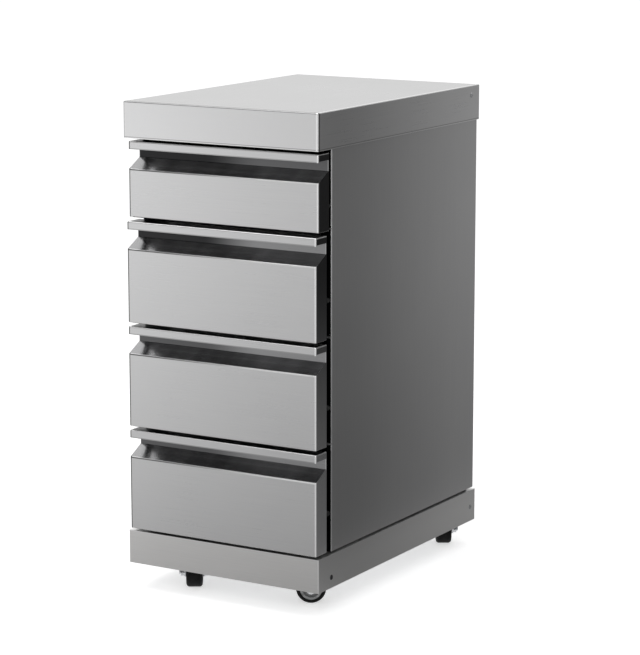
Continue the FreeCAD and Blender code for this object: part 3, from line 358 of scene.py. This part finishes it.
FINISHES = {
    # The worktop is ground along its depth, so its streaks run from front to back.
    "brushed_steel_top": belt_ground_steel("stainless_belt_ground_lengthwise", "D9D9DA", "E1E1E1",
                                           "Y", 0.30, COUNTER_LINES,
                                           top_painted_light(COUNTER_LOW, COUNTER_HIGH)),
    # The back and the cross rails are ground upwards, with a broader, softer shine.
    "brushed_steel_sides": belt_ground_steel("stainless_belt_ground_upright", "C8C8C9", "D0D0D0",
                                             "Z", 0.34),
    # The plinth is ground across, and a little warmer than the panels above it; its lighter tone is
    # painted light.
    "brushed_steel_plinth": belt_ground_steel("stainless_belt_ground_plinth", "DAD9D8", "E3E2E1",
                                              "X", 0.34, PLINTH_LINES),
    # The drawer boxes are cold-rolled sheet: paler streaks and a dull, even gloss.
    "drawer_box_steel": belt_ground_steel("stainless_cold_rolled", "C4C5C6", "CECECF", "Y", 0.38),
    # The cabinet's floor, the hidden frames and the fronts' liners are galvanised: grey, with
    # crystals a few millimetres wide.
    "galvanised_steel": coated_steel("galvanised_sheet", "A9ACAF", "C2C4C6", 0.45),
    # Slides, screws and the casters' metal are zinc plated: brighter, with finer crystals.
    "zinc_plated_steel": coated_steel("bright_zinc_plate", "BFC1C4", "D3D4D6", 0.28, 1.2 * MM),
    # The screws near the plinth's front corners are blackened, with a dark satin skin.
    "dark_screw_steel": coated_steel("blackened_screw_steel", "4A4A4C", "5E5E60", 0.42, 1.0 * MM),
    # Seal and bumpers are moulded rubber, matt and nearly black.
    "black_rubber": moulded("epdm_rubber_black", "161616", "212121", 0.75),
    # The wheels' hubs are moulded nylon: pale grey with a low sheen.
    "grey_nylon": moulded("moulded_grey_nylon", "A8A9AA", "B9BABB", 0.45),
    # The tyres are moulded rubber too, deep black, with hardly any shine.
    "black_tyre": moulded("moulded_tyre_rubber", "0C0C0C", "161616", 0.55, 0.12),
}
DRAWERS = (1, 2, 3, 4)
OWN_FINISHES = {f"drawer_front_{number}": front_steel(number) for number in DRAWERS}
OWN_FINISHES["side_panel_right"] = OWN_FINISHES["side_panel_left"] = belt_ground_steel(
    "stainless_belt_ground_panel", "C8C8C9", "D0D0D0", "Z", 0.34,
    shade=panel_painted_shade(PANEL_LOW, PANEL_HIGH, PANEL_LINES))
SLOT_OF = {part["node"]: part["material_slot"] for part in frame["record"]["subparts"]}
for name, piece in frame["nodes"].items():
    for holder in piece.material_slots:
        holder.material = OWN_FINISHES.get(name) or FINISHES[SLOT_OF[name]]


def mesh_object(name, points, faces):
    """Mesh object from plain lists."""
    mesh = bpy.data.meshes.new(name)
    mesh.from_pydata(points, [], faces)
    mesh.update()
    thing = bpy.data.objects.new(name, mesh)
    bpy.context.scene.collection.objects.link(thing)
    return thing


def node_group(name, sizes, materials):
    """Empty Geometry Nodes tree with one mesh in, one out, and named inputs."""
    tree = bpy.data.node_groups.new(name, "GeometryNodeTree")
    tree.interface.new_socket("Geometry", in_out="OUTPUT", socket_type="NodeSocketGeometry")
    tree.interface.new_socket("Geometry", in_out="INPUT", socket_type="NodeSocketGeometry")
    for size in sizes:
        tree.interface.new_socket(size, in_out="INPUT", socket_type="NodeSocketFloat")
    for material in materials:
        tree.interface.new_socket(material, in_out="INPUT", socket_type="NodeSocketMaterial")
    return tree, add(tree, "NodeGroupInput").outputs


SCREW_SIZES = {"Head radius": 5 * MM, "Head height": 0.8 * MM, "Recess reach": 5.2 * MM,
               "Recess width": 1.1 * MM, "Shank radius": 2.4 * MM, "Shank length": 8 * MM}
SCREW_FINISHES = {"Finish": FINISHES["zinc_plated_steel"],
                  "Dark finish": FINISHES["dark_screw_steel"]}


def screw_nodes():
    """Low pan-headed screws with a cross recess, one at each point, turned by its own attribute."""
    crown_share, head_sides, shank_sides = 0.82, 32, 16
    tree, given = node_group("cross_recess_screws", SCREW_SIZES, SCREW_FINISHES)
    node = partial(add, tree)
    crown = node(MATH, (given["Head radius"], crown_share), operation="MULTIPLY")
    head = node("GeometryNodeMeshCone", {
        "Vertices": head_sides, "Radius Top": crown, "Radius Bottom": given["Head radius"],
        "Depth": given["Head height"]})
    lift = node(VECTOR, {"Z": given["Head height"]})
    arms = []
    for reach, width in (("Recess reach", "Recess width"), ("Recess width", "Recess reach")):
        size = node(VECTOR, {"X": given[reach], "Y": given[width], "Z": given["Head height"]})
        arm = node("GeometryNodeMeshCube", {"Size": size})
        arms.append(node("GeometryNodeTransform", {"Geometry": arm, "Translation": lift}))
    recessed = node("GeometryNodeMeshBoolean", {"Mesh 1": head, "Mesh 2": arms},
                    operation="DIFFERENCE")
    shank = node("GeometryNodeMeshCylinder", {
        "Vertices": shank_sides, "Radius": given["Shank radius"], "Depth": given["Shank length"]})
    sink = node(MATH, (given["Shank length"], -0.5), operation="MULTIPLY")
    shank = node("GeometryNodeTransform", {
        "Geometry": shank, "Translation": node(VECTOR, {"Z": sink})})
    screw = node("GeometryNodeJoinGeometry", {"Geometry": [recessed, shank]})
    turn = node("GeometryNodeInputNamedAttribute", {"Name": "turn"}, data_type="FLOAT_VECTOR")
    screws = node("GeometryNodeInstanceOnPoints", {
        "Points": given["Geometry"], "Rotation": turn, "Instance": screw})
    solid = node("GeometryNodeRealizeInstances", {"Geometry": screws})
    plain = node("GeometryNodeSetMaterial", {"Geometry": solid, "Material": given["Finish"]})
    dark = node("GeometryNodeInputNamedAttribute", {"Name": "dark"}, data_type="BOOLEAN")
    done = node("GeometryNodeSetMaterial", {
        "Geometry": plain, "Selection": dark, "Material": given["Dark finish"]})
    node("NodeGroupOutput", {"Geometry": done})
    return tree


def grown_mesh(name, tree, source, values):
    """Plain mesh object that a Geometry Nodes tree makes from a mesh of points."""
    modifier = source.modifiers.new("nodes", "NODES")
    modifier.node_group = tree
    for item in tree.interface.items_tree:
        if item.in_out == "INPUT" and item.name in values:
            modifier[item.identifier] = values[item.name]
    evaluated = source.evaluated_get(bpy.context.evaluated_depsgraph_get())
    mesh = bpy.data.meshes.new_from_object(evaluated)
    bpy.data.objects.remove(source)
    grown = bpy.data.objects.new(name, mesh)
    bpy.context.scene.collection.objects.link(grown)
    return grown


SCREW_TREE = screw_nodes()
TURNS = {"right": (0, math.pi / 2, 0), "left": (0, -math.pi / 2, 0), "back": (-math.pi / 2, 0, 0)}
HEAD_RADIUS, HEAD_HEIGHT = SCREW_SIZES["Head radius"], SCREW_SIZES["Head height"]
CABINET_BASE = 116 * MM
BACK_ROWS, BACK_SCREWS_X = 5, 195 * MM


def make_screws(name, body, solids, spots):
    """Screws of one body: each spot is a point, the way the head faces and whether it is dark."""
    points = mesh_object(name + "_points", [spot[0] for spot in spots], [])
    turn = points.data.attributes.new("turn", "FLOAT_VECTOR", "POINT")
    dark = points.data.attributes.new("dark", "BOOLEAN", "POINT")
    for index, (_, facing, dim) in enumerate(spots):
        turn.data[index].vector = TURNS[facing]
        dark.data[index].value = dim
    screws = grown_mesh(name, SCREW_TREE, points, {**SCREW_SIZES, **SCREW_FINISHES})
    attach(screws, body)
    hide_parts(solids)


def make_panel_screws():
    """Screws in the plinth's sides, the side aprons and the back of the cabinet."""
    low, high = extent(frame["nodes"]["panel_screws"])
    side, back = high[0] - HEAD_HEIGHT, high[1] - HEAD_HEIGHT
    plinth_front = (COUNTER_LOW[1] + 46 * MM, 70 * MM, True)
    plinth_back = (COUNTER_HIGH[1] - 21 * MM, 79 * MM, False)
    apron = (COUNTER_HIGH[1] - 34 * MM, COUNTER_HIGH[2] - 19 * MM, False)
    spots = [((x, y, z), facing, dim) for facing, x in (("right", side), ("left", -side))
             for y, z, dim in (plinth_front, plinth_back, apron)]
    rise = COUNTER_LOW[2] - CABINET_BASE
    spots += [((x, back, CABINET_BASE + rise * (row + 0.5) / BACK_ROWS), "back", False)
              for x in (-BACK_SCREWS_X, BACK_SCREWS_X) for row in range(BACK_ROWS)]
    make_screws("panel_screw_heads", "cabinet", "panel_screws", spots)


def make_front_screws(number):
    """Screws from inside a drawer box that hold its front wall to the drawer front."""
    low, high = extent(frame["nodes"][f"front_screws_{number}"])
    spots = [((x, high[1] - HEAD_HEIGHT, z), "back", False)
             for x in (low[0] + HEAD_RADIUS, high[0] - HEAD_RADIUS)
             for z in (low[2] + HEAD_RADIUS, high[2] - HEAD_RADIUS)]
    make_screws(f"box_screw_heads_{number}", f"drawer_{number}", f"front_screws_{number}", spots)


def seen_by(tree, *rays):
    """1 for the named kinds of ray and 0 for the others."""
    path = add(tree, "ShaderNodeLightPath").outputs
    seen = path[rays[0]]
    for ray in rays[1:]:
        seen = add(tree, MATH, (seen, path[ray]), operation="MAXIMUM")
    return seen


def make_world():
    """Studio air: a plain level on the object, white where the camera looks.

    Gloss sees a white backdrop behind the unit on its left. Elsewhere it sees a room with mid-grey
    walls and a lighter ceiling.
    """
    world = bpy.data.worlds.new("studio_air")
    bpy.context.scene.world = world
    tree = empty_tree(world)
    node = partial(add, tree)
    aim = node(AXES, (node(PLACES).outputs["Generated"],)).outputs
    leftward = node(RANGE, (aim["X"], 0.8, 0.25), **SMOOTH)
    rearward = node(RANGE, (aim["Y"], -0.3, 0.3), **SMOOTH)
    backdrop = node(MATH, (leftward, rearward), operation="MULTIPLY")
    walls = graded(tree, aim["Z"], 0.35, 0.8, "969696", "BCBCBC")
    room = node(MIX, {0: backdrop, 6: walls, 7: "FFFFFF"}, **COLOURS)
    level = node("ShaderNodeBackground", {"Color": "F4F4F4", "Strength": 0.75})
    mirrored = node("ShaderNodeBackground", {"Color": room, "Strength": 1})
    white = node("ShaderNodeBackground", {"Color": "FFFFFF", "Strength": 1})
    lit = node("ShaderNodeMixShader", (seen_by(tree, "Is Glossy Ray"), level, mirrored))
    seen = seen_by(tree, "Is Camera Ray", "Is Transmission Ray")
    node("ShaderNodeOutputWorld", {"Surface": node("ShaderNodeMixShader", (seen, lit, white))})


def make_floor():
    """Pale studio floor that reads as white where it is lit and keeps the unit's shadow."""
    reach, lift = 40, 0.54
    floor = mesh_object("studio_floor", [(-reach, -reach, 0), (reach, -reach, 0),
                                         (reach, reach, 0), (-reach, reach, 0)], [(0, 1, 2, 3)])
    material = bpy.data.materials.new("pale_studio_floor")
    tree = empty_tree(material)
    node = partial(add, tree)
    seen = seen_by(tree, "Is Camera Ray", "Is Transmission Ray", "Is Glossy Ray")
    strength = node(MATH, (seen, lift), operation="MULTIPLY")
    lit = node("ShaderNodeBsdfDiffuse", {"Color": "E6E6E6"})
    glow = node("ShaderNodeEmission", {"Color": "FFFFFF", "Strength": strength})
    node("ShaderNodeOutputMaterial", {"Surface": node("ShaderNodeAddShader", (lit, glow))})
    floor.data.materials.append(material)


def make_card(name, corners, faces, brightness):
    """Card that only gloss sees: it grades the light on the steel and lights nothing else."""
    card = mesh_object(name, corners, faces)
    material = bpy.data.materials.new(name)
    tree = empty_tree(material)
    spot = add(tree, AXES, (add(tree, PLACES).outputs["Object"],)).outputs
    glow = add(tree, "ShaderNodeEmission", {"Strength": brightness(tree, spot)})
    add(tree, "ShaderNodeOutputMaterial", {"Surface": glow})
    card.data.materials.append(material)
    card.visible_camera = card.visible_diffuse = False
    card.visible_shadow = card.visible_transmission = False


def make_dark_card():
    """Bent card beside the unit that keeps its right side dark.

    It lightens towards the back, towards its top, along its foot and at its near end.
    """
    foot, side, near, far, low, high = 0.215, 0.36, -0.75, 2.6, 0.0005, 1.02

    def brightness(tree, spot):
        node = partial(add, tree)
        rearward = node(RANGE, (spot["Y"], -0.15, 0.85, 0.125, 0.42), **SMOOTH)
        upward = node(RANGE, (spot["Z"], 0.0, 0.7, 0.55, 0.84), **SMOOTH)
        skirt = node(RANGE, (spot["Z"], 0.06, 0.01, 0, 0.07), **SMOOTH)
        forward = node(RANGE, (spot["Y"], -0.06, -0.62, 0, 0.55), **SMOOTH)
        extra = node(MATH, (skirt, forward), operation="ADD")
        return node(MATH, (rearward, upward, extra), operation="MULTIPLY_ADD")

    make_card("dark_card", [(foot, near, low), (foot, far, low), (side, near, low),
                            (side, far, low), (side, near, high), (side, far, high)],
              [(0, 2, 3, 1), (2, 4, 5, 3)], brightness)


def make_leaning_card():
    """White card lying before the unit and rising beyond its open drawers.

    It is brightest at its top and on its left. The fronts mirror it: the higher a point on them,
    the further out it meets the card.
    """
    foot, bend, top, low, rise, left, right = -0.32, -0.82, -2.9, 0.001, 0.95, -3.2, 2.4
    # How far a mirrored line of sight drops and drifts sideways on each metre outwards, and the
    # scale that turns the height it left from into the share of the card's brightness.
    drop, drift, scale = 0.238, 0.6, 0.615

    def brightness(tree, spot):
        node = partial(add, tree)
        out = node(MATH, (spot["Y"], -1.0, foot), operation="MULTIPLY_ADD")
        height = node(MATH, (out, drop, spot["Z"]), operation="MULTIPLY_ADD")
        scaled = node(MATH, (height, scale), operation="MULTIPLY")
        reach = node(MATH, (scaled,), operation="SQRT")
        upward = node(MATH, (reach, 0.84, 0.42), operation="MULTIPLY_ADD")
        across = node(MATH, (out, drift, spot["X"]), operation="MULTIPLY_ADD")
        falling = node(RANGE, (across, -0.65, 0.28, 1.13, 0.66), **SMOOTH)
        return node(MATH, (upward, falling), operation="MULTIPLY")

    make_card("leaning_card", [(left, foot, low), (right, foot, low), (left, bend, low),
                               (right, bend, low), (left, top, rise), (right, top, rise)],
              [(0, 1, 3, 2), (2, 3, 5, 4)], brightness)


def softbox(name, place, target, width, height, power):
    """Soft lamp at a place, aimed at a point."""
    lamp = bpy.data.lights.new(name, "AREA")
    lamp.shape = "RECTANGLE"
    lamp.size, lamp.size_y, lamp.energy = width, height, power
    holder = bpy.data.objects.new(name, lamp)
    bpy.context.scene.collection.objects.link(holder)
    turn = (Vector(target) - Vector(place)).to_track_quat("-Z", "Y").to_matrix().to_4x4()
    holder.matrix_world = Matrix.Translation(place) @ turn


def make_camera():
    """Camera at the photograph's viewing angle: its turn, its dip in radians, and its place."""
    turn, dip, place = 0.53622, 0.18897, (2.5457, -4.2352, 1.4159)
    lens = bpy.data.cameras.new("camera")
    lens.sensor_width, lens.lens = 36, 144.03
    lens.clip_end = 100
    camera = bpy.data.objects.new("camera", lens)
    bpy.context.scene.collection.objects.link(camera)
    aim = Matrix.Rotation(turn, 4, "Z") @ Matrix.Rotation(math.pi / 2 - dip, 4, "X")
    camera.matrix_world = Matrix.Translation(place) @ aim
    bpy.context.scene.camera = camera


make_panel_screws()
for number in DRAWERS:
    make_front_screws(number)
make_world()
make_floor()
make_dark_card()
make_leaning_card()
make_camera()
softbox("overhead_softbox", place=(-0.6, -0.4, 3.2), target=(0, 0, 0.4),
        width=2.4, height=2.4, power=30)
softbox("camera_side_softbox", place=(1.3, -2.9, 1.9), target=(0, 0, 0.5),
        width=1.0, height=1.4, power=25)
bpy.context.scene.view_settings.view_transform = "Standard"
